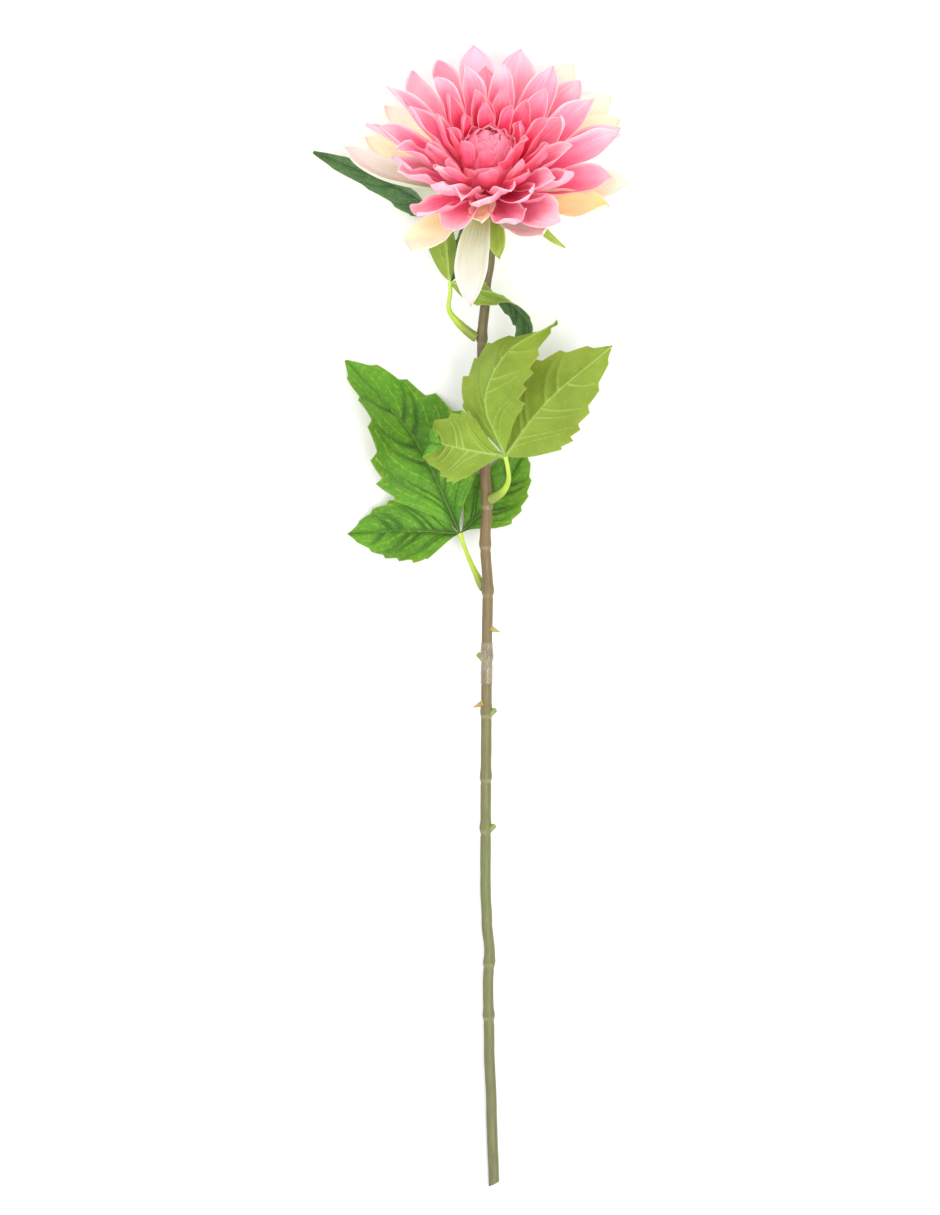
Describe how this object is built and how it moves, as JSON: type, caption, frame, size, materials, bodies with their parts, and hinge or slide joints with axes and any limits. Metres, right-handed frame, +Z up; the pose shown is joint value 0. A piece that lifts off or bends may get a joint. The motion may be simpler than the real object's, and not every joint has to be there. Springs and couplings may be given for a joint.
{
  "type": "cut dahlia",
  "caption": "Single pink dahlia on a long bare green-brown stem with compound leaves, pale outer petals, lying on its side.",
  "frame": {"origin": "centre of the bounding box of the lying flower, on the surface it lies on", "axes": "+Y from the cut end of the stem towards the flower head, +Z up from the surface"},
  "size_m": [0.1746, 0.6394, 0.1189],
  "materials": {
    "pink_petal": "matte",
    "cream_petal": "matte",
    "leaf": "satin",
    "green_stalk": "satin",
    "stem": "satin",
    "tape": "gloss"
  },
  "bodies": {
    "root": {"bract_1": "leaf", "bract_2": "leaf", "bract_3": "leaf", "bract_4": "leaf", "bract_5": "leaf", "centre_bud": "pink_petal", "crown_whorl": "pink_petal", "front_leaf_left_leaflet": "leaf", "front_leaf_middle_leaflet": "leaf", "front_leaf_petiole": "green_stalk", "front_leaf_right_leaflet": "leaf", "guard_petal_1": "cream_petal", "guard_petal_10": "cream_petal", "guard_petal_11": "cream_petal", "guard_petal_12": "cream_petal", "guard_petal_2": "cream_petal", "guard_petal_3": "cream_petal", "guard_petal_4": "cream_petal", "guard_petal_5": "cream_petal", "guard_petal_6": "cream_petal", "guard_petal_7": "cream_petal", "guard_petal_8": "cream_petal", "guard_petal_9": "cream_petal", "inner_whorl": "pink_petal", "middle_petal_1": "pink_petal", "middle_petal_10": "pink_petal", "middle_petal_11": "pink_petal", "middle_petal_12": "pink_petal", "middle_petal_2": "pink_petal", "middle_petal_3": "pink_petal", "middle_petal_4": "pink_petal", "middle_petal_5": "pink_petal", "middle_petal_6": "pink_petal", "middle_petal_7": "pink_petal", "middle_petal_8": "pink_petal", "middle_petal_9": "pink_petal", "outer_petal_1": "pink_petal", "outer_petal_10": "pink_petal", "outer_petal_11": "pink_petal", "outer_petal_12": "pink_petal", "outer_petal_2": "pink_petal", "outer_petal_3": "pink_petal", "outer_petal_4": "pink_petal", "outer_petal_5": "pink_petal", "outer_petal_6": "pink_petal", "outer_petal_7": "pink_petal", "outer_petal_8": "pink_petal", "outer_petal_9": "pink_petal", "rear_leaf_left_leaflet": "leaf", "rear_leaf_long_leaflet": "leaf", "rear_leaf_petiole": "green_stalk", "rear_leaf_right_leaflet": "leaf", "receptacle": "green_stalk", "stem": "stem", "tape_band": "tape", "upper_leaf_folded_leaflet": "leaf", "upper_leaf_hidden_leaflet": "leaf", "upper_leaf_long_leaflet": "leaf", "upper_leaf_petiole": "green_stalk", "upper_whorl": "pink_petal"}
  },
  "joints": []
}
